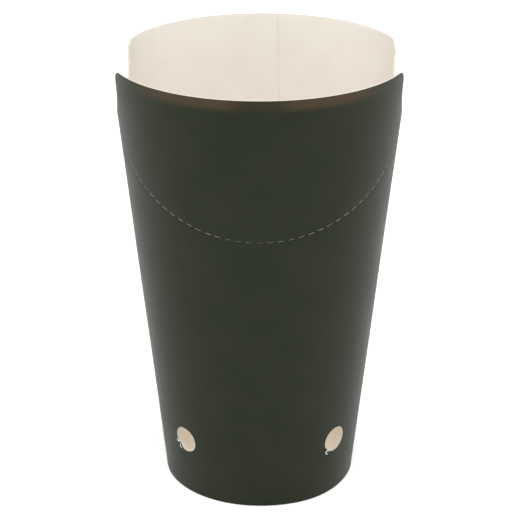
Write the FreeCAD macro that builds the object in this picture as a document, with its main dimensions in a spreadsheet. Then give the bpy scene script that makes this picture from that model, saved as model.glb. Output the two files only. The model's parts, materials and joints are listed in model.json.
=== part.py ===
import FreeCAD, Part
import os
import Sketcher

# A tapered paperboard cup whose mouth is closed by two curved flaps.
#
# Frame: millimetres, +Z up, origin at the middle of the ring the cup stands on.
# The front flap faces -Y and the side seam is at the back, at +Y.
#
# The wall is a cone. Two crease planes meet on the line y = 0 at crease_end_height and drop
# towards the front and the back: below them is the wall, above them are the two flaps. A flap
# folds in over the mouth, turning about the level line through its crease's lowest point.

SIZES = {
    # the cone of the printed outer face, and the layers of the sheet
    "base_radius": 31.7,
    "taper_angle": 6.0,
    "board_thickness": 0.4,
    "lining_thickness": 0.1,
    # the two creases and the slot that the cuts open along them
    "crease_end_height": 127.0,
    "crease_angle": 34.0,
    "crease_slot": 0.4,
    "tie_length": 1.2,
    # the flaps and the round notch between them
    "front_edge_height": 145.2,
    "back_edge_height": 146.7,
    "front_corner_radius": 5.4,
    "back_corner_radius": 3.0,
    "front_notch_radius": 14.2,
    "back_notch_radius": 12.7,
    "notch_floor": 0.1,
    # the side seam, measured along X on the inside
    "lap_edge": 5.85,
    "lap_width": 7.1,
    # the vent holes
    "vent_radius": 4.45,
    "vent_height": 20.5,
    "vent_azimuth": 46.0,
    # the base: a cup-shaped disc whose skirt is held by the turned-in hem
    "disc_height": 10.0,
    "skirt_floor": 1.0,
    "hem_height": 8.5,
    "hem_fold": 0.5,
    # how far the cutting outlines reach past the cup
    "reach": 80.0,
    "headroom": 200.0,
}
TIES_PER_CREASE = 46
# The crease is longest, per degree of azimuth, beside the notches. This evens the spacing out.
TIE_SPREAD = 3.6

doc = FreeCAD.newDocument("flap_cup")
sheet = doc.addObject("Spreadsheet::Sheet", "Sizes")
for row, (alias, value) in enumerate(SIZES.items(), start=1):
    sheet.set(f"A{row}", alias)
    sheet.set(f"B{row}", str(value))
    sheet.setAlias(f"B{row}", alias)
doc.recompute()

SHEET_THICKNESS = "(Sizes.board_thickness + Sizes.lining_thickness)"
HALF_SLOT = "(Sizes.crease_slot / 2 / cos(Sizes.crease_angle))"
NOTCH_FLOOR = "Sizes.crease_end_height + Sizes.notch_floor"
# The seam's inner layers, each counted inwards from the printed face.
SEAL_INSET = SHEET_THICKNESS
LAP_INSET = f"({SHEET_THICKNESS} + Sizes.lining_thickness)"
LAP_LINING_INSET = f"({LAP_INSET} + Sizes.board_thickness)"
# The base's layers, counted the same way.
SKIRT_INSET = f"({SHEET_THICKNESS} + Sizes.lining_thickness)"
HEM_LINING_INSET = f"({SKIRT_INSET} + Sizes.board_thickness)"
HEM_INSET = f"({HEM_LINING_INSET} + Sizes.lining_thickness)"
DISC_TOP = "(Sizes.disc_height + Sizes.lining_thickness)"


def cone(height, inset):
    """Radius, as an expression, of the wall's cone at a height, inset from the printed face."""
    return f"(Sizes.base_radius + ({height}) * tan(Sizes.taper_angle) - ({inset}))"


def crease(distance, lift):
    """Height, as an expression, of a crease plane at a distance from the hinge line."""
    return f"(Sizes.crease_end_height - ({distance}) * tan(Sizes.crease_angle) + ({lift}))"


def value_of(expression):
    return float(sheet.evalExpression(expression))


def new_sketch(body, name, plane_role):
    sketch = body.newObject("Sketcher::SketchObject", name)
    plane = next(item for item in body.Origin.OriginFeatures if item.Role == plane_role)
    sketch.AttachmentSupport = (plane, [""])
    sketch.MapMode = "FlatFace"
    return sketch


def bind(sketch, constraint, expression, label):
    """Adds a named constraint whose size follows an expression."""
    kind, *where = constraint
    size = value_of(expression)
    sketch.addConstraint(Sketcher.Constraint(kind, *where, size))
    sketch.renameConstraint(sketch.ConstraintCount - 1, label)
    sketch.setExpression(f"Constraints.{label}", expression)


def place_point(sketch, geometry, end, across, up, label):
    """Ties one point of the sketch to the origin, by two expressions."""
    bind(sketch, ("DistanceX", -1, 1, geometry, end), across, f"{label}_x")
    bind(sketch, ("DistanceY", -1, 1, geometry, end), up, f"{label}_y")


def end_at(sketch, arc, point):
    """Which end of an arc, 1 or 2, lies at a point: arcs always run anticlockwise."""
    return 1 if sketch.getPoint(arc, 1).distanceToPoint(point) < 1e-3 else 2


def draw_polygon(sketch, corners, name):
    """A closed outline whose corners are pairs of expressions."""
    points = [FreeCAD.Vector(value_of(x), value_of(y), 0) for x, y in corners]
    first = sketch.GeometryCount
    count = len(points)
    for index in range(count):
        sketch.addGeometry(Part.LineSegment(points[index], points[(index + 1) % count]), False)
    for index in range(count):
        following = first + (index + 1) % count
        sketch.addConstraint(Sketcher.Constraint("Coincident", first + index, 2, following, 1))
    for index, (across, up) in enumerate(corners):
        place_point(sketch, first + index, 1, across, up, f"{name}{index}")


def draw_frame(sketch):
    """The large rectangle around an outline, so that a pocket keeps only what is inside it."""
    reach = "Sizes.reach"
    top = "Sizes.headroom"
    draw_polygon(
        sketch,
        [(f"-{reach}", f"-{reach}"), (reach, f"-{reach}"), (reach, top), (f"-{reach}", top)],
        "frame",
    )


def revolve(body, corners, angle=360):
    """Turns an outline, drawn in the YZ plane, about Z; a part turn is centred on the outline."""
    sketch = new_sketch(body, f"{body.Name}_section", "YZ_Plane")
    draw_polygon(sketch, corners, "section")
    turned = body.newObject("PartDesign::Revolution", f"{body.Name}_turned")
    turned.Profile = sketch
    turned.ReferenceAxis = (sketch, ["V_Axis"])
    turned.Angle = angle
    turned.Midplane = angle < 360
    doc.recompute()
    return turned


def pocket(body, sketch):
    """Cuts a sketch right through the body, both ways."""
    before = body.Shape.Volume
    cut = body.newObject("PartDesign::Pocket", f"{sketch.Name}_cut")
    cut.Profile = sketch
    cut.Type = "ThroughAll"
    cut.Midplane = True
    doc.recompute()
    if not cut.Shape.Volume < before - 1e-3:
        raise RuntimeError(f"{sketch.Name} cuts nothing")


def conical_layer(name, low, high, inset, thickness, angle=360):
    """One layer of the sheet, rolled into the wall's cone between two heights."""
    body = doc.addObject("PartDesign::Body", name)
    inner = f"({inset}) + ({thickness})"
    corners = [
        (cone(low, inset), low),
        (cone(high, inset), high),
        (cone(high, inner), high),
        (cone(low, inner), low),
    ]
    revolve(body, corners, angle)
    return body


def cut_above_creases(body):
    """Leaves what lies below both crease planes, less half of the slot."""
    sketch = new_sketch(body, f"{body.Name}_roof", "YZ_Plane")
    eave = crease("Sizes.reach", f"-{HALF_SLOT}")
    draw_polygon(
        sketch,
        [
            ("-Sizes.reach", eave),
            ("0", crease("0", f"-{HALF_SLOT}")),
            ("Sizes.reach", eave),
            ("Sizes.reach", "Sizes.headroom"),
            ("-Sizes.reach", "Sizes.headroom"),
        ],
        "roof",
    )
    pocket(body, sketch)


def cut_around_flap(body, side):
    """Leaves one flap: above its crease, outside the notch, below its edge, corners rounded.

    side is -1 for the front flap and 1 for the back one.
    """
    name = "front" if side < 0 else "back"
    edge_height = f"Sizes.{name}_edge_height"
    corner_radius = f"Sizes.{name}_corner_radius"
    notch_radius = f"Sizes.{name}_notch_radius"
    notch_centre = f"({NOTCH_FLOOR} + {notch_radius})"
    sketch = new_sketch(body, f"{body.Name}_outline", "YZ_Plane")
    draw_frame(sketch)
    # First positions, which the constraints then hold: the sketch is solved from close by.
    reach = value_of("Sizes.reach - 10")
    slope = value_of("tan(Sizes.crease_angle)")
    sill = value_of(crease("0", HALF_SLOT))
    top = value_of(edge_height)
    corner = value_of(corner_radius)
    radius = value_of(notch_radius)
    hub = FreeCAD.Vector(0, value_of(notch_centre), 0)
    bend_up = top - corner
    bend_out = ((radius + corner) ** 2 - (bend_up - hub.y) ** 2) ** 0.5
    bend_centre = FreeCAD.Vector(side * bend_out, bend_up, 0)
    edge_end = FreeCAD.Vector(side * bend_out, top, 0)
    touch = hub + (bend_centre - hub).normalize() * radius
    drop = sill - hub.y
    across = slope * drop + ((1 + slope**2) * radius**2 - drop**2) ** 0.5
    tip_out = across / (1 + slope**2)
    tip = FreeCAD.Vector(side * tip_out, sill - slope * tip_out, 0)
    far_low = FreeCAD.Vector(side * reach, sill - slope * reach, 0)
    far_high = FreeCAD.Vector(side * reach, top, 0)
    bend_middle = bend_centre + (edge_end + touch - bend_centre * 2).normalize() * corner
    notch_middle = hub + (touch + tip - hub * 2).normalize() * radius
    low, outer, edge, bend, notch = range(sketch.GeometryCount, sketch.GeometryCount + 5)
    sketch.addGeometry(Part.LineSegment(tip, far_low), False)
    sketch.addGeometry(Part.LineSegment(far_low, far_high), False)
    sketch.addGeometry(Part.LineSegment(far_high, edge_end), False)
    sketch.addGeometry(Part.Arc(edge_end, bend_middle, touch), False)
    sketch.addGeometry(Part.Arc(touch, notch_middle, tip), False)
    bend_first = end_at(sketch, bend, edge_end)
    notch_first = end_at(sketch, notch, touch)
    sketch.addConstraint(Sketcher.Constraint("Coincident", low, 2, outer, 1))
    sketch.addConstraint(Sketcher.Constraint("Coincident", outer, 2, edge, 1))
    sketch.addConstraint(Sketcher.Constraint("Tangent", edge, 2, bend, bend_first))
    sketch.addConstraint(Sketcher.Constraint("Tangent", bend, 3 - bend_first, notch, notch_first))
    sketch.addConstraint(Sketcher.Constraint("Coincident", notch, 3 - notch_first, low, 1))
    sketch.addConstraint(Sketcher.Constraint("Horizontal", edge))
    out = f"{side} * (Sizes.reach - 10)"
    place_point(sketch, outer, 1, out, crease("Sizes.reach - 10", HALF_SLOT), "far_low")
    place_point(sketch, notch, 3, "0", notch_centre, "notch_centre")
    bind(sketch, ("DistanceX", -1, 1, outer, 2), out, "far_high_x")
    bind(sketch, ("DistanceY", -1, 1, outer, 2), edge_height, "edge_height")
    bind(sketch, ("Radius", bend), corner_radius, "corner_radius")
    bind(sketch, ("Radius", notch), notch_radius, "notch_radius")
    # The crease's line, carried on, passes through this point above the hinge line.
    sketch.addGeometry(Part.Point(FreeCAD.Vector(0, sill, 0)), True)
    sill_point = sketch.GeometryCount - 1
    sketch.addConstraint(Sketcher.Constraint("PointOnObject", sill_point, 1, low))
    place_point(sketch, sill_point, 1, "0", crease("0", HALF_SLOT), "sill")
    pocket(body, sketch)


def keep_between(body, plane_role, corners):
    """Leaves only what lies inside an outline, seen along the axis of one of the origin planes."""
    sketch = new_sketch(body, f"{body.Name}_window", plane_role)
    draw_frame(sketch)
    draw_polygon(sketch, corners, "window")
    pocket(body, sketch)


def keep_lap(body):
    """Leaves the strip of a back sector that the seam's lap covers."""
    left = "(Sizes.lap_edge - Sizes.lap_width)"
    right = "Sizes.lap_edge"
    top = "(Sizes.headroom - 10)"
    low = "(10 - Sizes.reach)"
    keep_between(body, "XZ_Plane", [(left, low), (right, low), (right, top), (left, top)])


def publish(shape_object, node):
    """Names a finished object as one node of the cup."""
    shape_object.Label = node
    nodes.append(shape_object)


nodes = []

# The wall: the board and the lining film on its inside, both with the two vent holes.
vents = []
for name, turn in (("left", "-90 - Sizes.vent_azimuth"), ("right", "-90 + Sizes.vent_azimuth")):
    drill = doc.addObject("Part::Cylinder", f"{name}_vent_drill")
    drill.setExpression("Radius", "Sizes.vent_radius")
    drill.setExpression("Height", "Sizes.base_radius * 1.5")
    # The drill runs outwards from the cup's axis, square to the wall.
    start = f"Sizes.vent_height + {cone('Sizes.vent_height', '0')} * tan(Sizes.taper_angle)"
    drill.setExpression(
        "Placement",
        f"placement(vector(0; 0; {start}); rotation({turn}; 90 + Sizes.taper_angle; 0))",
    )
    vents.append(drill)
vent_drills = doc.addObject("Part::MultiFuse", "vent_drills")
vent_drills.Shapes = vents

WALL_FOOT = "Sizes.hem_fold"
WALL_TOP = "Sizes.crease_end_height"
for node, inset, thickness in (
    ("sleeve_wall", "0", "Sizes.board_thickness"),
    ("wall_lining", "Sizes.board_thickness", "Sizes.lining_thickness"),
):
    layer = conical_layer(f"{node}_sheet", WALL_FOOT, WALL_TOP, inset, thickness)
    cut_above_creases(layer)
    drilled = doc.addObject("Part::Cut", f"{node}_drilled")
    drilled.Base = layer
    drilled.Tool = vent_drills
    publish(drilled, node)

# The flaps: two layers each, on the same cone as the wall.
FLAP_FOOT = "(Sizes.crease_end_height / 2)"
FLAP_HEAD = "(Sizes.back_edge_height + 5)"
for node, side, inset, thickness in (
    ("front_flap", -1, "0", "Sizes.board_thickness"),
    ("front_flap_lining", -1, "Sizes.board_thickness", "Sizes.lining_thickness"),
    ("back_flap", 1, "0", "Sizes.board_thickness"),
    ("back_flap_lining", 1, "Sizes.board_thickness", "Sizes.lining_thickness"),
):
    flap = conical_layer(f"{node}_sheet", FLAP_FOOT, FLAP_HEAD, inset, thickness)
    cut_around_flap(flap, side)
    publish(flap, node)

# The side seam: the sheet's other end laps inside the first, held by a film of melted lining.
LAP_FOOT = DISC_TOP
for part_name, inset, thickness in (
    ("seam_seal", SEAL_INSET, "Sizes.lining_thickness"),
    ("seam_lap", LAP_INSET, "Sizes.board_thickness"),
    ("seam_lap_lining", LAP_LINING_INSET, "Sizes.lining_thickness"),
):
    strip = conical_layer(f"{part_name}_sheet", LAP_FOOT, WALL_TOP, inset, thickness, 40)
    keep_lap(strip)
    cut_above_creases(strip)
    publish(strip, part_name)
    strip = conical_layer(f"flap_{part_name}_sheet", FLAP_FOOT, FLAP_HEAD, inset, thickness, 40)
    keep_lap(strip)
    cut_around_flap(strip, 1)
    publish(strip, f"back_flap_{part_name}")

# The base: a disc with a turned-down skirt, lined on top, and the hem folded up inside it.
disc_underside = "(Sizes.disc_height - Sizes.board_thickness)"
skirt_inner = HEM_LINING_INSET
disc = doc.addObject("PartDesign::Body", "bottom_disc_body")
revolve(disc, [
    ("0", disc_underside),
    (cone(disc_underside, skirt_inner), disc_underside),
    (cone("Sizes.skirt_floor", skirt_inner), "Sizes.skirt_floor"),
    (cone("Sizes.skirt_floor", SKIRT_INSET), "Sizes.skirt_floor"),
    (cone("Sizes.disc_height", SKIRT_INSET), "Sizes.disc_height"),
    ("0", "Sizes.disc_height"),
])
publish(disc, "bottom_disc")
film = doc.addObject("PartDesign::Body", "bottom_lining_body")
revolve(film, [
    ("0", "Sizes.disc_height"),
    (cone("Sizes.disc_height", SKIRT_INSET), "Sizes.disc_height"),
    (cone("Sizes.skirt_floor", SKIRT_INSET), "Sizes.skirt_floor"),
    (cone("Sizes.skirt_floor", SHEET_THICKNESS), "Sizes.skirt_floor"),
    (cone(DISC_TOP, SHEET_THICKNESS), DISC_TOP),
    ("0", DISC_TOP),
])
publish(film, "bottom_lining")
hem = doc.addObject("PartDesign::Body", "bottom_hem_body")
hem_inner = f"({HEM_INSET} + Sizes.board_thickness)"
revolve(hem, [
    (cone("0", "0"), "0"),
    (cone("Sizes.hem_fold", "0"), "Sizes.hem_fold"),
    (cone("Sizes.hem_fold", HEM_INSET), "Sizes.hem_fold"),
    (cone("Sizes.hem_height", HEM_INSET), "Sizes.hem_height"),
    (cone("Sizes.hem_height", hem_inner), "Sizes.hem_height"),
    (cone("0", hem_inner), "0"),
])
publish(hem, "bottom_hem")
hem_film = conical_layer(
    "hem_lining_sheet", "Sizes.hem_fold", "Sizes.hem_height",
    HEM_LINING_INSET, "Sizes.lining_thickness",
)
publish(hem_film, "hem_lining")

# The creases: between the cuts, short ties of uncut sheet bridge the slot.
for name, side in (("front", -1), ("back", 1)):
    band = conical_layer(f"{name}_slot_band", FLAP_FOOT, FLAP_HEAD, "0", SHEET_THICKNESS)
    far = f"{side} * (Sizes.reach - 10)"
    keep_between(band, "YZ_Plane", [
        ("0", crease("0", f"-{HALF_SLOT}")),
        (far, crease("Sizes.reach - 10", f"-{HALF_SLOT}")),
        (far, crease("Sizes.reach - 10", HALF_SLOT)),
        ("0", crease("0", HALF_SLOT)),
    ])
    teeth = []
    for index in range(TIES_PER_CREASE):
        even = (index + 0.5) * 180 / TIES_PER_CREASE - 90
        tooth = doc.addObject("Part::Box", f"{name}_tooth_{index}")
        tooth.setExpression("Length", "Sizes.base_radius * 2")
        tooth.setExpression("Width", "Sizes.tie_length")
        tooth.setExpression("Height", "Sizes.headroom")
        turn = f"({side} * 90 + {even} + {TIE_SPREAD} * sin({2 * even}))"
        # Half of the width aside, so that the tooth is centred on its azimuth.
        half = "Sizes.tie_length / 2"
        tooth.setExpression(
            "Placement",
            f"placement(vector(sin({turn}) * {half}; -cos({turn}) * {half}; 0);"
            f" rotation({turn}; 0; 0))",
        )
        teeth.append(tooth)
    comb = doc.addObject("Part::Compound", f"{name}_comb")
    comb.Links = teeth
    ties = doc.addObject("Part::MultiCommon", f"{name}_ties_common")
    ties.Shapes = [band, comb]
    publish(ties, f"{name}_crease_ties")

doc.recompute()

for item in doc.Objects:
    if "Invalid" in item.State or "Error" in item.State:
        raise RuntimeError(f"{item.Label} is {item.State}")
os.makedirs("parts", exist_ok=True)
for node in nodes:
    if node.Shape.isNull() or not node.Shape.isValid() or node.Shape.Volume <= 0:
        raise RuntimeError(f"{node.Label} has no valid shape")
    node.Shape.exportStep(f"parts/{node.Label}.step")
    box = node.Shape.BoundBox
    print(
        f"{node.Label}: {len(node.Shape.Solids)} solid(s), {node.Shape.Volume:.1f} mm3,",
        f"z {box.ZMin:.2f} to {box.ZMax:.2f}, x {box.XMin:.2f} to {box.XMax:.2f},",
        f"y {box.YMin:.2f} to {box.YMax:.2f}",
    )
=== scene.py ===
"""Closing flap cup: a tapered paperboard cup whose two flaps fold in over its mouth."""

import json
import math

import bmesh
import bpy
import numpy as np
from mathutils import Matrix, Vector, geometry


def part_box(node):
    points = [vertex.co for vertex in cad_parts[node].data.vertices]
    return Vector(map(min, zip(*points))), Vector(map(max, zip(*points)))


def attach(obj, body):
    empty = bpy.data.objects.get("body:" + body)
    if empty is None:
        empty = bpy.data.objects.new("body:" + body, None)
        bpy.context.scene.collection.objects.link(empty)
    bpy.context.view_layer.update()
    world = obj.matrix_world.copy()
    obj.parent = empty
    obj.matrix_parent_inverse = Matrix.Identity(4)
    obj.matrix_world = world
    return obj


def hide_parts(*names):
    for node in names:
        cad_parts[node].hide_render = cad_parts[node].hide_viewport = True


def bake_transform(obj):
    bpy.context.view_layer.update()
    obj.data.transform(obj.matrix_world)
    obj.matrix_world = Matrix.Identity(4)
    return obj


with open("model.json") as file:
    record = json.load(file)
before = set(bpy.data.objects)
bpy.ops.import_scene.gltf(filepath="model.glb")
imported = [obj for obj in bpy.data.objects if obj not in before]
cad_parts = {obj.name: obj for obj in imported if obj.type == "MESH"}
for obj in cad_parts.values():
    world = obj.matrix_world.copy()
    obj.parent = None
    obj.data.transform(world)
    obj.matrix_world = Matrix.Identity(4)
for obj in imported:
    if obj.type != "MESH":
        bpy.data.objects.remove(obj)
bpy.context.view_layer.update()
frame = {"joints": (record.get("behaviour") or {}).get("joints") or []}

MM = 0.001

# ---------------------------------------------------------------- sizes, in millimetres and degrees

SLOPE = math.tan(math.radians(6))
BOARD = 0.4
FILM = 0.1
SHEET = BOARD + FILM
FLAP_TOP = {"front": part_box("front_flap")[1].z / MM, "back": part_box("back_flap")[1].z / MM}
BASE_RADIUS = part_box("back_flap")[1].y / MM - SLOPE * FLAP_TOP["back"]
HINGES = {j["child"]: j for j in frame["joints"]}
REACH = abs(HINGES["front_flap"]["pos_m"][1]) / MM
CREASE_LOW = HINGES["front_flap"]["pos_m"][2] / MM
CREASE_ANGLE = math.radians(34)
CREASE_TOP = CREASE_LOW + REACH * math.tan(CREASE_ANGLE)

TIES = 46
TIE_SPREAD = 3.6
TIE = 1.2
CUT = 0.1
NOTCH_RADIUS = {"front": 14.2, "back": 12.7}
NOTCH_FLOOR = 0.1
CORNER = {"front": 5.4, "back": 3.0}
SLACK = 0.2
LEAN = 2.7
LEAN_SHIFT = 0.9
LAP_EDGE = 6.55
OUTER_END = 1.25
LAP_STEP = 0.56
# The seam's inner layer steps in from this azimuth on, over this many degrees.
LAP_START = -172.5
LAP_SPREAD = 5.0
# Its end is pressed thinner by this share, over this many degrees.
PRESSED = 0.65
PRESSED_SPREAD = 3.0
CREASE_PRESS = 0.07
CREASE_PRESS_WIDTH = 0.7
WAVE = 0.06
FOOT_BULGE = 0.4
FOOT_BULGE_AZIMUTH = 34
FOOT_BULGE_SPREAD = 20
FOOT_BULGE_HEIGHT = 16
VENT_RADIUS = 4.45
VENT_HEIGHT = 20.5
VENT_AZIMUTHS = (-46.0, 46.9)
# Torn board left on each vent, and where on its outline, in radians from its right.
TEARS = (0.9, 0.1)
TEAR_ANGLE = 3.87
TEAR_WIDTH = 0.33
FOOT = 0.8
HEM_FOLD = 0.75
# The base steps in at the seam, and the hem again where the seam's outer layer ends.
BASE_STEP_START = 165.5
BASE_STEP_SPREAD = 3.5
OUTER_LAYER_END = 181.8
OUTER_LAYER_SPREAD = 0.8
RIBS = 96
RIB_DEPTH = 0.035
DISC_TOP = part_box("bottom_lining")[1].z / MM
HEM_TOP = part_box("bottom_hem")[1].z / MM

# Sheets are laid out flat on (arc, height), the arc measured at this radius.
ARC = 40.0
FOOT_ARC = 33
# One unit of the layout's texture coordinates, in millimetres.
LAYOUT_UNIT = 100

# Mesh spacing, and the rows beside a crease: (distance from it, spacing along it).
WALL_SPACING = 2.6
FLAP_SPACING = 1.5
CREASE_BAND = 2.6
CREASE_ROWS = ((0.5, 0.9), (1.2, 1.2), (2.2, 1.7))


def smooth(t):
    """Eases from 0 to 1."""
    t = np.clip(t, 0.0, 1.0)
    return t * t * (3 - 2 * t)


def radius(z):
    """Outside radius of the printed face at a height."""
    return BASE_RADIUS + SLOPE * z


def crease_height(azimuth):
    """Height of the crease at an azimuth in degrees, 0 at the front and 180 at the back."""
    c = np.abs(np.cos(np.radians(azimuth)))
    m = math.tan(CREASE_ANGLE)
    return (CREASE_TOP - m * c * BASE_RADIUS) / (1 + m * c * SLOPE)


# ---------------------------------------------------------------- the shape of the sheet


def lap_step(azimuth):
    """How far the sheet has stepped in to run under the seam's outer layer."""
    return LAP_STEP * smooth((LAP_START - azimuth) / LAP_SPREAD)


def out_of_round(azimuth, z):
    """How far the board stands out from a true cone: a little all over, more at the foot's right."""
    wave = WAVE * np.sin(3 * np.radians(azimuth) + 0.05 * z) * np.sin(0.035 * z + 1.3)
    bulge = FOOT_BULGE * np.exp(-(((azimuth - FOOT_BULGE_AZIMUTH) / FOOT_BULGE_SPREAD) ** 2))
    return wave + bulge * smooth((FOOT_BULGE_HEIGHT - z) / FOOT_BULGE_HEIGHT)


def place(azimuth, z, inset, side=None):
    """Points of the cup, in millimetres: inset is the depth in from the printed face."""
    azimuth = np.asarray(azimuth, float)
    z = np.asarray(z, float)
    a = np.radians(azimuth)
    above = z - crease_height(azimuth)
    # the inner layer's end is pressed thinner, so that it hardly shows
    lap_end = -180 - np.degrees(np.arcsin(LAP_EDGE / radius(z)))
    pressed = PRESSED * smooth((lap_end + PRESSED_SPREAD - azimuth) / PRESSED_SPREAD)
    r = radius(z) - inset * (1 - pressed) - lap_step(azimuth)
    r = r + SLACK + out_of_round(azimuth, z)
    # the crease is pressed in a little
    r = r - CREASE_PRESS * np.exp(-((above / CREASE_PRESS_WIDTH) ** 2))
    if side == "back":
        # the back flap leans in, more on its left, where it is the seam's inner layer
        span = FLAP_TOP["back"] - crease_height(azimuth)
        share = np.clip(above / span, 0, 1)
        r = r - (LEAN - LEAN_SHIFT * np.sin(a)) * share ** (1.6 + 0.4 * np.sin(a))
    return np.stack([r * np.sin(a), -r * np.cos(a), z], axis=-1)


def crease_line(sign):
    """(azimuth, height) along one crease from -90 to 90 degrees, set back by sign at each cut."""
    fine = np.linspace(-90, 90, 3601)
    x, y, z = place(fine, crease_height(fine), 0).T
    along = np.concatenate([[0], np.cumsum(np.sqrt(np.diff(x) ** 2 + np.diff(y) ** 2 + np.diff(z) ** 2))])
    even = (np.arange(TIES) + 0.5) * 180 / TIES - 90
    ties = np.interp(even + TIE_SPREAD * np.sin(np.radians(2 * even)), fine, along)
    stations = [0.0]
    shares = [0.0]
    for start, end in zip(ties[:-1] + TIE / 2, ties[1:] - TIE / 2):
        for u in (0, 0.05, 0.15, 0.32, 0.5, 0.68, 0.85, 0.95, 1):
            stations.append(start + u * (end - start))
            shares.append((1 - abs(2 * u - 1) ** 6) ** 0.5)
    stations.append(along[-1])
    shares.append(0.0)
    azimuth = np.interp(stations, along, fine)
    # the cuts gape less at the crease's middle and towards its ends
    aside = np.abs(azimuth)
    depth = CUT * (0.45 + 0.55 * smooth((aside - 6) / 18) - 0.5 * smooth((aside - 52) / 25))
    return azimuth, crease_height(azimuth) + sign * depth * np.array(shares)


def corner_line(side):
    """(azimuth, height) from the notch's floor up round the flap's corner to its top edge."""
    top = FLAP_TOP[side]
    corner = CORNER[side]
    notch = NOTCH_RADIUS[side]
    centre = CREASE_TOP + NOTCH_FLOOR + notch
    drop = top - corner - centre
    reach = math.sqrt((notch + corner) ** 2 - drop**2)
    turn = math.atan2(reach, -drop)
    arc = np.linspace(0, turn, 26)
    v = notch * np.sin(arc)
    z = centre - notch * np.cos(arc)
    round_ = np.linspace(turn - math.pi, 0, 9)[1:]
    v = np.append(v, reach + corner * np.sin(round_))
    z = np.append(z, top - corner + corner * np.cos(round_))
    return np.degrees(np.arccos(v / radius(z))), z


def end_line(x, z0, z1, turn):
    """(azimuth, height) up a straight free end of the sheet at the back, x from the middle."""
    z = np.linspace(z0, z1, max(3, int(abs(z1 - z0) / 2)))
    return turn * (180 + np.degrees(np.arcsin(x / radius(z)))), z


def joined(*runs):
    """One closed outline from runs of (azimuth, height), without doubled points."""
    points = []
    for azimuth, z in runs:
        for a, h in zip(np.atleast_1d(azimuth), np.atleast_1d(z)):
            p = (math.radians(a) * ARC, float(h))
            if not points or math.dist(p, points[-1]) > 0.02:
                points.append(p)
    if math.dist(points[0], points[-1]) < 0.02:
        points.pop()
    return points


def backwards(run):
    return run[0][::-1], run[1][::-1]


def part_of(run, low, high, offset=0):
    """The stretch of a run between two azimuths, moved round by offset degrees."""
    keep = (run[0] > low) & (run[0] < high)
    return run[0][keep] + offset, run[1][keep]


def wall_outline():
    crease = crease_line(-1)
    outer = 180 + math.degrees(math.asin(OUTER_END / radius(CREASE_LOW)))
    inner = -180 - math.degrees(math.asin(LAP_EDGE / radius(CREASE_LOW)))
    bottom = np.linspace(inner - 2.6, outer + 0.4, 150)[1:-1]
    return joined(
        backwards(part_of(crease, -91, outer - 180 - 0.3, 180)),
        backwards(crease),
        backwards(part_of(crease, inner + 180 + 0.3, 91, -180)),
        end_line(LAP_EDGE, float(crease_height(inner)), FOOT, -1),
        (bottom, np.full(len(bottom), FOOT)),
        end_line(OUTER_END, FOOT, float(crease_height(outer)), 1),
    )


def front_outline():
    corner = corner_line("front")
    edge = np.linspace(corner[0][-1], -corner[0][-1], 90)
    return joined(
        crease_line(1),
        corner,
        (edge, np.full(len(edge), FLAP_TOP["front"])),
        (-corner[0][::-1], corner[1][::-1]),
    )


def back_outline(turn):
    """The back flap is two layers that lap: turn 1 is the outer layer's half, -1 the inner's."""
    crease = crease_line(1)
    x = OUTER_END if turn > 0 else LAP_EDGE
    end = math.degrees(math.asin(x / radius(CREASE_LOW)))
    azimuth, z = part_of(crease, -91, end - 0.3)
    corner = corner_line("back")
    top = 180 + math.degrees(math.asin(x / radius(FLAP_TOP["back"])))
    edge = np.linspace(top, 180 - corner[0][-1], 46)
    return joined(
        (turn * (180 + azimuth), z),
        end_line(x, float(crease_height(180 + end)), FLAP_TOP["back"], turn),
        (turn * edge, np.full(len(edge), FLAP_TOP["back"])),
        (turn * (180 - corner[0][::-1]), corner[1][::-1]),
    )


def vent_outline(azimuth, torn):
    """A vent's punched outline, with torn mm of board left on its lower left."""
    turn = np.linspace(0, 2 * math.pi, 56, endpoint=False)
    r = VENT_RADIUS - torn * np.exp(-(((turn - TEAR_ANGLE) / TEAR_WIDTH) ** 2))
    r = r + 0.03 * np.sin(5 * turn + azimuth)
    s = math.radians(azimuth) * ARC + r * np.cos(turn) * ARC / radius(VENT_HEIGHT)
    return list(zip(s, VENT_HEIGHT + r * np.sin(turn)))


# ---------------------------------------------------------------- flat outline to solid sheet


def inside(points, outline):
    """True for each point within the outline."""
    p = np.asarray(points)
    result = np.zeros(len(p), bool)
    loop = np.asarray(outline)
    for (x0, y0), (x1, y1) in zip(loop, np.roll(loop, -1, axis=0)):
        if y0 == y1:
            continue
        crosses = (p[:, 1] < y0) != (p[:, 1] < y1)
        result ^= crosses & (p[:, 0] < x0 + (p[:, 1] - y0) * (x1 - x0) / (y1 - y0))
    return result


def nearest(points, others):
    """Distance from each point to the nearest of the others."""
    result = np.full(len(points), np.inf)
    for i in range(0, len(others), 200):
        gap = points[:, None, :] - others[None, i : i + 200, :]
        result = np.minimum(result, np.sqrt((gap**2).sum(-1)).min(1))
    return result


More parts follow.
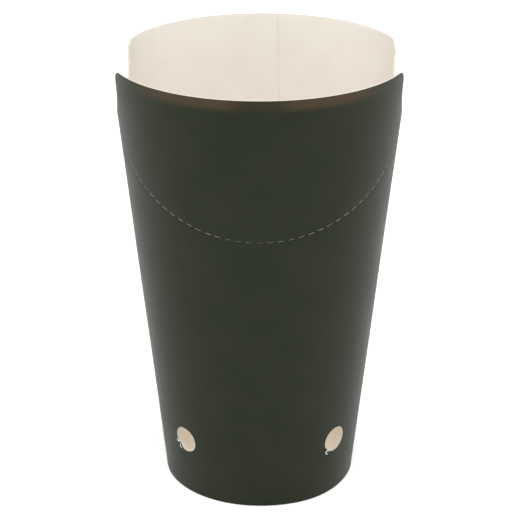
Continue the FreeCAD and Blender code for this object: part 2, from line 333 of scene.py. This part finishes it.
def fill(outline, holes, spacing):
    """Points and triangles that fill a flat outline, rows close together beside the crease."""
    rim = np.array(outline + [p for hole in holes for p in hole])
    low, high = rim.min(0), rim.max(0)
    grid = []
    step = spacing * math.sqrt(0.75)
    for j in range(int((high[1] - low[1]) / step) + 1):
        x = np.arange(low[0] + (j % 2) * spacing / 2, high[0], spacing)
        grid.append(np.stack([x, np.full(len(x), low[1] + j * step)], -1))
    grid = np.concatenate(grid)
    height = crease_height(np.degrees(grid[:, 0] / ARC))
    grid = grid[np.abs(grid[:, 1] - height) > CREASE_BAND + 0.3 * spacing]
    for offset, pitch in CREASE_ROWS:
        x = np.arange(low[0], high[0], pitch)
        for sign in (-1, 1):
            z = crease_height(np.degrees(x / ARC)) + sign * offset
            grid = np.concatenate([grid, np.stack([x, z], -1)])
    grid = grid[inside(grid, outline)]
    for hole in holes:
        grid = grid[~inside(grid, hole)]
    near = nearest(grid, rim)
    beside = np.abs(grid[:, 1] - crease_height(np.degrees(grid[:, 0] / ARC))) < CREASE_BAND
    grid = grid[near > np.where(beside, 0.3, 0.45 * spacing)]
    corners = [Vector(p) for p in np.concatenate([rim, grid])]
    edges = []
    first = 0
    for loop in [outline] + holes:
        edges += [(first + i, first + (i + 1) % len(loop)) for i in range(len(loop))]
        first += len(loop)
    points, _, faces, _, _, _ = geometry.delaunay_2d_cdt(corners, edges, [], 0, 1e-4)
    points = np.array([tuple(p) for p in points])
    faces = np.array([f for f in faces if len(f) == 3])
    middle = points[faces].mean(1)
    keep = inside(middle, outline)
    for hole in holes:
        keep &= ~inside(middle, hole)
    a, b, c = (points[faces[:, i]] for i in range(3))
    area = (b[:, 0] - a[:, 0]) * (c[:, 1] - a[:, 1]) - (b[:, 1] - a[:, 1]) * (c[:, 0] - a[:, 0])
    faces[area < 0] = faces[area < 0][:, ::-1]
    return points, faces[keep & (np.abs(area) > 1e-5)]


def new_object(name, vertices, faces, materials, indices, uvs):
    mesh = bpy.data.meshes.new(name)
    mesh.from_pydata([tuple(v) for v in vertices * MM], [], [tuple(f) for f in faces])
    for m in materials:
        mesh.materials.append(m)
    mesh.polygons.foreach_set("material_index", indices)
    mesh.polygons.foreach_set("use_smooth", [True] * len(faces))
    layer = mesh.uv_layers.new(name="sheet")
    loops = np.empty(len(mesh.loops), int)
    mesh.loops.foreach_get("vertex_index", loops)
    layer.data.foreach_set("uv", (uvs[loops] / LAYOUT_UNIT).astype(np.float32).ravel())
    mesh.update()
    obj = bpy.data.objects.new(name, mesh)
    bpy.context.scene.collection.objects.link(obj)
    return obj


def solid_sheet(name, flat, outer, inner, materials, side=None):
    """A sheet between two depths in from the printed face: outside, inside and cut edge."""
    points, triangles = flat
    azimuth, z = np.degrees(points[:, 0] / ARC), points[:, 1]
    count = len(points)
    # a dict and not a set, so that the edges keep their order
    directed = dict.fromkeys((a, b) for t in triangles.tolist() for a, b in zip(t, t[1:] + t[:1]))
    rim = [(a, b) for a, b in directed if (b, a) not in directed]
    on_rim = sorted({a for edge in rim for a in edge})
    place_on_rim = {a: i for i, a in enumerate(on_rim)}
    top = place(azimuth, z, outer, side)
    under = place(azimuth, z, inner, side)
    vertices = np.concatenate([top, under, top[on_rim], under[on_rim]])
    faces = triangles.tolist() + (triangles[:, ::-1] + count).tolist()
    indices = [0] * len(triangles) + [1] * len(triangles)
    base, lower = 2 * count, 2 * count + len(on_rim)
    for a, b in rim:
        i, j = place_on_rim[a], place_on_rim[b]
        faces.append([base + j, base + i, lower + i, lower + j])
        indices.append(2)
    uvs = np.concatenate([points, points, points[on_rim], points[on_rim]])
    obj = new_object(name, vertices, faces, materials, indices, uvs)
    depth = np.repeat([outer, inner, outer, inner], [count, count, len(on_rim), len(on_rim)])
    return obj, uvs, depth


# ---------------------------------------------------------------- each point's share of a flap's turn shut, worked out but not applied

LIFT = 0.35
LIFT_HEIGHT = 1.5
# Each flap's edge stops this far from the middle of the mouth.
MEETING_GAP = 0.6
# Below this height above its crease a flap doesn't move at all, and its layers part over the next.
JOINED_HEIGHT = 0.16
FREE_HEIGHT = 1.2
ROOM_EDGE = 43.0
ROOM_SPREAD = 6


def fold_weights(layout, depth, side, turn):
    """Each point's share of the flap's turn. At the limit the flap lies just above its crease's
    plane, printed face up, its edge drawn straight beside the middle of the mouth. That squeezes
    the board, most towards the crease's ends, and there the two flaps' corners cross."""
    azimuth, z = np.degrees(layout[:, 0] / ARC), layout[:, 1]
    facing = -1 if side == "front" else 1
    crease_z = crease_height(azimuth)
    above = z - crease_z

    def seen_from_hinge(a, h, inset):
        p = place(a, h, inset, side)
        across, up = p[:, 1] * facing - REACH, p[:, 2] - CREASE_LOW
        return np.arctan2(up, across), np.maximum(np.hypot(across, up), 1e-3)

    # the flap's top or notch edge above each point
    corner = corner_line(side)
    from_middle = np.abs(azimuth if side == "front" else 180 - np.abs(azimuth))
    edge_z = np.interp(-from_middle, -corner[0], corner[1])
    edge_z = np.maximum(edge_z, crease_z + 0.05)
    _, edge_r = seen_from_hinge(azimuth, edge_z, SHEET / 2)
    flat = math.pi - CREASE_ANGLE
    meets = np.arccos(-np.clip((REACH - MEETING_GAP) / edge_r, 0, 1))
    # it only dips below that plane where the wall leaves it room
    room = smooth((ROOM_EDGE - np.abs(place(azimuth, z, SHEET / 2, side)[:, 0])) / ROOM_SPREAD)
    meets = np.minimum(meets, flat + room * (meets - flat))
    share = np.clip(above / (edge_z - crease_z), 0, 1)
    own_angle, own_r = seen_from_hinge(azimuth, z, depth)
    mid_angle, mid_r = seen_from_hinge(azimuth, z, np.full(len(z), SHEET / 2))
    lift = LIFT * smooth(above / LIFT_HEIGHT)
    final = flat + (meets - flat) * share - lift / np.maximum(mid_r, 1.0)
    mid_turn = np.maximum(final - mid_angle, 0)
    own_turn = final - (SHEET / 2 - depth) / np.maximum(own_r, 1.0) - own_angle
    free = smooth(above / FREE_HEIGHT)
    result = (1 - free) * mid_turn + free * own_turn
    return np.where(above < JOINED_HEIGHT, 0.0, np.maximum(result, 0)) / turn


def bend(obj, layout, depth, side):
    child = side + "_flap"
    joint = HINGES[child]
    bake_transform(obj)
    weights = fold_weights(layout, depth, side, math.radians(joint["range_deg"][1]))


# ---------------------------------------------------------------- materials


class Nodes:
    """A material's node tree, wired by name."""

    def __init__(self, name):
        self.material = bpy.data.materials.new(name)
        self.material.use_nodes = True
        self.tree = self.material.node_tree
        self.shader = self.tree.nodes["Principled BSDF"]

    def add(self, kind, inputs=(), **settings):
        node = self.tree.nodes.new("ShaderNode" + kind)
        for key, value in settings.items():
            setattr(node, key, value)
        for key, value in dict(inputs).items():
            self.set(node, key, value)
        return node

    def set(self, node, key, value):
        if isinstance(value, bpy.types.NodeSocket):
            self.tree.links.new(value, node.inputs[key])
        else:
            node.inputs[key].default_value = value

    def layout(self, stretch=(1, 1, 1)):
        """The flat sheet's own coordinates, one unit to 100 mm, so patterns bend with the board."""
        uv = self.add("UVMap", uv_map="sheet")
        return self.add("Mapping", {"Vector": uv.outputs["UV"], "Scale": stretch}).outputs[0]

    def noise(self, vector, size, detail=3, roughness=0.55):
        """Soft noise whose features are about size millimetres across."""
        inputs = {"Vector": vector, "Scale": LAYOUT_UNIT / size, "Detail": detail, "Roughness": roughness}
        return self.add("TexNoise", inputs).outputs["Fac"]

    def ramp(self, value, low, high, from_value=0.0, to_value=1.0):
        inputs = {
            "Value": value,
            "From Min": low,
            "From Max": high,
            "To Min": from_value,
            "To Max": to_value,
        }
        return self.add("MapRange", inputs, interpolation_type="SMOOTHSTEP").outputs[0]

    def mix(self, factor, a, b):
        node = self.add("Mix", data_type="RGBA")
        for key, value in ((0, factor), (6, a), (7, b)):
            self.set(node, key, value)
        return node.outputs[2]

    def bump(self, height, distance, strength=1.0, normal=None):
        inputs = {"Height": height, "Distance": distance * MM, "Strength": strength}
        if normal is not None:
            inputs["Normal"] = normal
        return self.add("Bump", inputs).outputs[0]

    def finish(self, **inputs):
        for key, value in inputs.items():
            self.set(self.shader, key.replace("_", " "), value)
        return self.material


def printed_board(name, lip=None):
    """Dark olive print under a satin varnish, over board whose fibres show a little."""
    m = Nodes(name)
    flat = m.layout()
    cloud = m.noise(flat, 16, 2)
    speckle = m.noise(flat, 0.8, 3, 0.7)
    fibre = m.noise(m.layout((1, 0.22, 1)), 0.5, 3, 0.6)
    colour = m.mix(m.ramp(cloud, 0.35, 0.65), (0.0084, 0.0120, 0.0030, 1), (0.0110, 0.0145, 0.0052, 1))
    colour = m.mix(m.ramp(speckle, 0.5, 0.75, 0, 0.35), colour, (0.018, 0.021, 0.012, 1))
    scuff = m.ramp(m.noise(m.layout((0.25, 1, 1)), 1.6, 4, 0.7), 0.66, 0.78, 0, 0.22)
    colour = m.mix(scuff, colour, (0.035, 0.035, 0.028, 1))
    # with lip given, a warm brown band is painted below the top edge, fading to the sides and weaker at the
    # very middle: a painted warm reflection
    if lip is not None:
        along, height, _ = m.add("SeparateXYZ", {"Vector": flat}).outputs
        aside = m.add("Math", {0: along}, operation="ABSOLUTE").outputs[0]
        lip_reflection = m.ramp(height, (lip - 4.6) / LAYOUT_UNIT, (lip - 1.6) / LAYOUT_UNIT, 0, 0.55)
        middle = m.ramp(aside, 0.24, 0.4, 1, 0.1)
        lip_reflection = m.add("Math", {0: lip_reflection, 1: middle}, operation="MULTIPLY").outputs[0]
        off_middle = m.ramp(aside, 0.03, 0.10, 0.25, 1)
        lip_reflection = m.add("Math", {0: lip_reflection, 1: off_middle}, operation="MULTIPLY").outputs[0]
        colour = m.mix(lip_reflection, colour, (0.070, 0.040, 0.020, 1))
    roughness = m.ramp(cloud, 0.3, 0.7, 0.42, 0.46)
    normal = m.bump(fibre, 0.02, 0.5)
    normal = m.bump(speckle, 0.015, 0.35, normal)
    return m.finish(
        Base_Color=colour,
        Roughness=roughness,
        Normal=normal,
        Specular_IOR_Level=0.145,
    )


def lining_film(name, light=(0.81, 0.763, 0.70, 1), dark=(0.785, 0.735, 0.67, 1)):
    """Cream film pressed onto board, smooth with a faint orange-peel and the board's mottle."""
    m = Nodes(name)
    flat = m.layout()
    cloud = m.noise(flat, 12, 3)
    fine = m.noise(flat, 0.7, 3, 0.6)
    colour = m.mix(m.ramp(cloud, 0.3, 0.7), dark, light)
    colour = m.mix(m.ramp(fine, 0.55, 0.8, 0, 0.3), colour, (0.74, 0.68, 0.60, 1))
    normal = m.bump(fine, 0.02, 0.5)
    normal = m.bump(m.noise(flat, 3, 2), 0.05, 0.3, normal)
    roughness = m.ramp(fine, 0.3, 0.7, 0.42, 0.52)
    return m.finish(Base_Color=colour, Roughness=roughness, Normal=normal, Specular_IOR_Level=0.4)


def bare_board(name, light, dark):
    """Unprinted board where it is cut or left plain: pale, matt and fibrous."""
    m = Nodes(name)
    flat = m.layout()
    fibre = m.noise(m.layout((1, 0.3, 1)), 0.35, 4, 0.65)
    colour = m.mix(m.ramp(fibre, 0.35, 0.7), light, dark)
    colour = m.mix(m.ramp(m.noise(flat, 9, 3), 0.4, 0.75, 0, 0.35), colour, dark)
    normal = m.bump(fibre, 0.05, 0.8)
    roughness = m.ramp(fibre, 0.3, 0.7, 0.78, 0.92)
    return m.finish(Base_Color=colour, Roughness=roughness, Normal=normal, Specular_IOR_Level=0.2)


PRINT = printed_board("olive_print")
# the front flap's print carries a painted warm reflection along its top edge
PRINT_LIP_REFLECTION = printed_board("olive_print_painted_lip_reflection", FLAP_TOP["front"])
CREAM = lining_film("cream_lining")
# the same cream film as the walls, painted brighter and warmer on the base: painted light standing in for
# light that hardly reaches the cup's floor
CREAM_BASE_PAINTED_BRIGHT = lining_film("cream_base_lining_painted_bright", (0.91, 0.83, 0.68, 1), (0.89, 0.80, 0.65, 1))
CORE = bare_board("board_core", (0.72, 0.69, 0.62, 1), (0.52, 0.48, 0.41, 1))
# a darker, greyer copy of the board core for all the sleeve's cut edges, the vents' rims most of all:
# painted shade, the same core as the flaps' pale top edges
CORE_PAINTED_SHADE = bare_board("board_core_painted_shade", (0.50, 0.50, 0.46, 1), (0.36, 0.36, 0.33, 1))
PLAIN = bare_board("plain_board", (0.70, 0.64, 0.54, 1), (0.60, 0.53, 0.43, 1))
TORN = bare_board("torn_board", (0.84, 0.82, 0.77, 1), (0.66, 0.64, 0.58, 1))

# ---------------------------------------------------------------- the sleeve and its flaps


def board_and_film(name, flat, print_material, edge, side=None):
    """The printed board and the film inside it, as two pieces."""
    board = solid_sheet(name + "_board", flat, 0, BOARD, [print_material, CORE, edge], side)
    film = solid_sheet(name + "_film", flat, BOARD, SHEET, [CREAM, CREAM, CREAM], side)
    if side is None:
        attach(board[0], "cup")
        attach(film[0], "cup")
    else:
        bend(*board, side)
        bend(*film, side)
    return board[0], film[0]


vents = [vent_outline(azimuth, torn) for azimuth, torn in zip(VENT_AZIMUTHS, TEARS)]
board, film = board_and_film("sleeve", fill(wall_outline(), vents, WALL_SPACING), PRINT, CORE_PAINTED_SHADE)
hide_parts("sleeve_wall", "seam_lap", "seam_seal", "front_crease_ties", "back_crease_ties")
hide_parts("wall_lining", "seam_lap_lining")

flat = fill(front_outline(), [], FLAP_SPACING)
board, film = board_and_film("front_flap", flat, PRINT_LIP_REFLECTION, CORE, "front")
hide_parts("front_flap")
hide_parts("front_flap_lining")

flat = fill(back_outline(1), [], FLAP_SPACING)
board, film = board_and_film("back_flap_outer", flat, PRINT, CORE, "back")
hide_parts("back_flap", "back_flap_seam_seal")
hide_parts("back_flap_lining")

flat = fill(back_outline(-1), [], FLAP_SPACING)
board, film = board_and_film("back_flap_inner", flat, PRINT, CORE, "back")
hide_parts("back_flap_seam_lap")
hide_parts("back_flap_seam_lap_lining")

# ---------------------------------------------------------------- torn threads on the vents' edges


def thread(azimuth, path, size):
    """Vertices and faces of a curled thread of torn board, its path in mm from a vent's middle:
    across, up and out from the printed face."""
    path = np.array(path, float)
    fine = np.linspace(0, len(path) - 1, 8 * len(path))
    path = np.stack([np.interp(fine, range(len(path)), path[:, k]) for k in range(3)], -1)
    for _ in range(10):
        path[1:-1] = (path[:-2] + 2 * path[1:-1] + path[2:]) / 4
    across, up, out = path.T
    turn = azimuth + np.degrees(across / radius(VENT_HEIGHT))
    line = place(turn, VENT_HEIGHT + up, -out)
    normal = place(turn, VENT_HEIGHT + up, -out - 1) - line
    along = np.gradient(line, axis=0)
    side = np.cross(along, normal)
    side /= np.linalg.norm(side, axis=1)[:, None]
    thick = size * (0.25 + 0.75 * np.sin(np.linspace(0.1, math.pi - 0.1, len(line))) ** 0.6)[:, None]
    rings = []
    for a in np.linspace(0, 2 * math.pi, 8, endpoint=False):
        rings.append(line + thick * (math.cos(a) * side + 0.6 * math.sin(a) * normal))
    vertices = np.stack(rings, 1).reshape(-1, 3)
    faces = [list(range(8))[::-1], [8 * (len(line) - 1) + k for k in range(8)]]
    for i in range(len(line) - 1):
        for k in range(8):
            n = (k + 1) % 8
            faces.append([8 * i + k, 8 * i + n, 8 * i + 8 + n, 8 * i + 8 + k])
    return vertices, faces


def torn_threads():
    left, right = VENT_AZIMUTHS
    curls = [
        (left, 0.13, [(-2.9, -2.3, 0.05), (-3.6, -1.8, 0.2), (-4.2, -1.7, 0.3), (-4.6, -1.5, 0.3)]),
        (left, 0.11, [(-3.5, -2.0, 0.05), (-4.0, -2.3, 0.2), (-4.5, -2.2, 0.2)]),
        (left, 0.13, [(-2.6, -2.6, 0.05), (-3.1, -3.2, 0.2), (-2.7, -3.9, 0.3), (-1.9, -4.1, 0.25)]),
        (
            right,
            0.14,
            [(-2.4, -3.9, 0.05), (-3.3, -3.2, 0.2), (-4.1, -3.6, 0.3), (-3.7, -4.5, 0.3), (-2.7, -4.5, 0.2)],
        ),
    ]
    threads = [thread(azimuth, path, size) for azimuth, size, path in curls]
    vertices, faces, first = [], [], 0
    for points, sides in threads:
        vertices.append(points)
        faces += [[first + k for k in face] for face in sides]
        first += len(points)
    vertices = np.concatenate(vertices)
    uvs = vertices[:, [0, 2]]
    obj = new_object("vent_torn_threads", vertices, faces, [TORN], [0] * len(faces), uvs)
    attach(obj, "cup")


torn_threads()

# ---------------------------------------------------------------- the base


def turned(name, profile, material, ripple, segments=240):
    """A ring or disc turned from a closed outline of (radius, height), moved out by ripple."""
    angle = np.linspace(0, 2 * math.pi, segments, endpoint=False)
    path = np.array(profile, float)
    rows = []
    for r, z in path:
        out = np.maximum(r + ripple(r, angle, z), 0.0)
        rows.append(np.stack([out * np.sin(angle), -out * np.cos(angle), np.full(segments, z)], -1))
    vertices = np.concatenate(rows)
    count = len(path)
    faces = []
    for i in range(count):
        k = (i + 1) % count
        if path[i][0] == 0 and path[k][0] == 0:
            continue
        for j in range(segments):
            n = (j + 1) % segments
            faces.append([i * segments + j, i * segments + n, k * segments + n, k * segments + j])
    step = np.concatenate([[0], np.cumsum(np.hypot(*np.diff(path, axis=0).T))])
    arc = np.tile(angle * FOOT_ARC, count)
    uvs = np.stack([arc, np.repeat(step, segments)], -1)
    obj = new_object(name, vertices, faces, [material], [0] * len(faces), uvs)
    mesh = obj.data
    bm = bmesh.new()
    bm.from_mesh(mesh)
    bmesh.ops.remove_doubles(bm, verts=bm.verts, dist=1e-7)
    bmesh.ops.recalc_face_normals(bm, faces=bm.faces)
    for e in bm.edges:
        if len(e.link_faces) == 2 and e.calc_face_angle(0) > math.radians(35):
            e.smooth = False
    bm.to_mesh(mesh)
    bm.free()
    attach(obj, "cup")
    return obj


def arc_points(centre_r, centre_z, size, start, end, count=7, square=1.0):
    """Points of an arc in a (radius, height) profile, angles in degrees from outward. square
    under 1 makes its quarters squarer, as a fold ironed flat is."""
    a = np.radians(np.linspace(start, end, count))
    c, s = np.cos(a), np.sin(a)
    c, s = np.sign(c) * np.abs(c) ** square, np.sign(s) * np.abs(s) ** square
    return [(centre_r + size * u, centre_z + size * v) for u, v in zip(c, s)]


def wall_radius(inset, z):
    return radius(z) + SLACK - inset


def hem_profile(depth_out, depth_in):
    """The sleeve's foot rolled in and up, between two depths from its printed face."""
    fold_r = wall_radius(HEM_FOLD, FOOT)
    outer = HEM_FOLD - depth_out
    inner = HEM_FOLD - depth_in
    outside = [(fold_r + outer, FOOT)] + arc_points(fold_r, HEM_FOLD, outer, 0, -180, 17, 0.45)
    outside.append((wall_radius(HEM_FOLD + outer, HEM_TOP), HEM_TOP))
    back = [(wall_radius(HEM_FOLD + inner, HEM_TOP), HEM_TOP)]
    back += arc_points(fold_r, HEM_FOLD, inner, -180, 0, 17, 0.45)
    back.append((fold_r + inner, FOOT))
    return outside + back


def base_step(r, angle, z):
    """The base is pushed in where the wall is two layers thick, at its seam."""
    turn = np.degrees(angle)
    step = out_of_round(turn, z) - lap_step(turn - 360) * smooth((turn - BASE_STEP_START) / BASE_STEP_SPREAD)
    return step * smooth((r - 22) / 6)


def hem_step(r, angle, z):
    """The hem follows both of the seam's layers, and has fine upright ribs from its sealing."""
    turn = np.degrees(angle)
    folded_in = smooth((wall_radius(0, z) - r - 0.5) / 0.4)
    outer_layer_end = lap_step(turn - 360) * smooth((turn - OUTER_LAYER_END) / OUTER_LAYER_SPREAD)
    outer_step = out_of_round(turn, z) - outer_layer_end
    step = folded_in * base_step(r, angle, z) + (1 - folded_in) * outer_step
    return step + RIB_DEPTH * np.sin(angle * RIBS) * smooth((z - 1.5) / 1.5)


hem = turned("foot_hem_board", hem_profile(0.0, BOARD), PRINT, ripple=hem_step, segments=576)
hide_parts("bottom_hem")
film_profile = hem_profile(BOARD, SHEET - 0.01)
hem_film = turned("foot_hem_film", film_profile, CREAM, ripple=hem_step, segments=576)
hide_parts("hem_lining")


def base_profile(skin, thick):
    """The disc and its turned-down skirt, skin below the lining's face and thick deep."""
    edge = 0.55 + skin
    top = DISC_TOP - skin
    bend_r = 0.9 - skin
    corner = wall_radius(edge, top) - bend_r
    skirt = 1.05
    outside = [(0, top - 0.25), (corner * 0.45, top - 0.24), (corner * 0.8, top - 0.16)]
    outside += [(corner * 0.93, top - 0.02)]
    outside += arc_points(corner, top - bend_r, bend_r, 90, 4, 8)
    outside.append((wall_radius(edge, skirt), skirt))
    inside_ = [(wall_radius(edge + thick, skirt), skirt)]
    inside_ += arc_points(corner, top - bend_r, bend_r - thick, 4, 90, 8)
    inside_ += [(corner * 0.93, top - thick - 0.02), (corner * 0.8, top - thick - 0.16)]
    inside_ += [(corner * 0.45, top - thick - 0.24), (0, top - thick - 0.25)]
    return outside + inside_


base = turned("base_board", base_profile(FILM, BOARD), PLAIN, ripple=base_step)
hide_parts("bottom_disc")
base_film = turned("base_film", base_profile(0.0, FILM), CREAM_BASE_PAINTED_BRIGHT, ripple=base_step)
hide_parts("bottom_lining")

# ---------------------------------------------------------------- floor, light and camera


def floor():
    m = Nodes("pale_floor")
    where = m.add("TexCoord").outputs["Object"]
    grain = m.add("TexNoise", {"Vector": where, "Scale": 40.0, "Detail": 2.0}).outputs["Fac"]
    colour = m.mix(grain, (0.90, 0.90, 0.90, 1), (0.92, 0.92, 0.92, 1))
    m.finish(Base_Color=colour, Roughness=0.9, Specular_IOR_Level=0.1)
    m.finish(Emission_Color=(1, 1, 1, 1), Emission_Strength=0.3)
    mesh = bpy.data.meshes.new("floor")
    half = 6.0
    corners = [(-half, -half, 0), (half, -half, 0), (half, half, 0), (-half, half, 0)]
    mesh.from_pydata(corners, [], [(0, 1, 2, 3)])
    mesh.materials.append(m.material)
    obj = bpy.data.objects.new("floor", mesh)
    obj.location.z = -0.0002
    bpy.context.scene.collection.objects.link(obj)


def lamp(name, place_m, aim_m, size, power):
    light = bpy.data.lights.new(name, "AREA")
    light.shape = "RECTANGLE"
    light.size, light.size_y = size
    light.energy = power
    obj = bpy.data.objects.new(name, light)
    obj.location = place_m
    obj.rotation_mode = "QUATERNION"
    obj.rotation_quaternion = (Vector(aim_m) - Vector(place_m)).to_track_quat("-Z", "Y")
    bpy.context.scene.collection.objects.link(obj)


floor()
lamp("left_softbox", (-1.1, -0.1, 0.5), (0, 0, 0.07), (0.9, 0.9), 5.5)
lamp("right_softbox", (1.1, -0.1, 0.5), (0, 0, 0.07), (0.9, 0.9), 5.5)
lamp("front_softbox", (0, -1.1, 1.1), (0, 0, 0.1), (1.2, 1.0), 16.5)
lamp("top_softbox", (0, 0, 1.5), (0, 0, 0.1), (0.95, 0.95), 9.5)

world = bpy.data.worlds.new("studio")
world.use_nodes = True
world.node_tree.nodes["Background"].inputs["Color"].default_value = (1, 1, 1, 1)
world.node_tree.nodes["Background"].inputs["Strength"].default_value = 0.33
bpy.context.scene.world = world
bpy.context.scene.view_settings.view_transform = "Standard"
bpy.context.scene.view_settings.look = "None"

lens = bpy.data.cameras.new("camera")
lens.sensor_width = 36
lens.lens = 120.36
lens.shift_x = 0.0010
lens.clip_start, lens.clip_end = 0.01, 50
camera = bpy.data.objects.new("camera", lens)
camera.location = (0, -0.52897, 0.30147)
camera.rotation_euler = (math.pi / 2 - 0.40463, 0, 0)
bpy.context.scene.collection.objects.link(camera)
bpy.context.scene.camera = camera
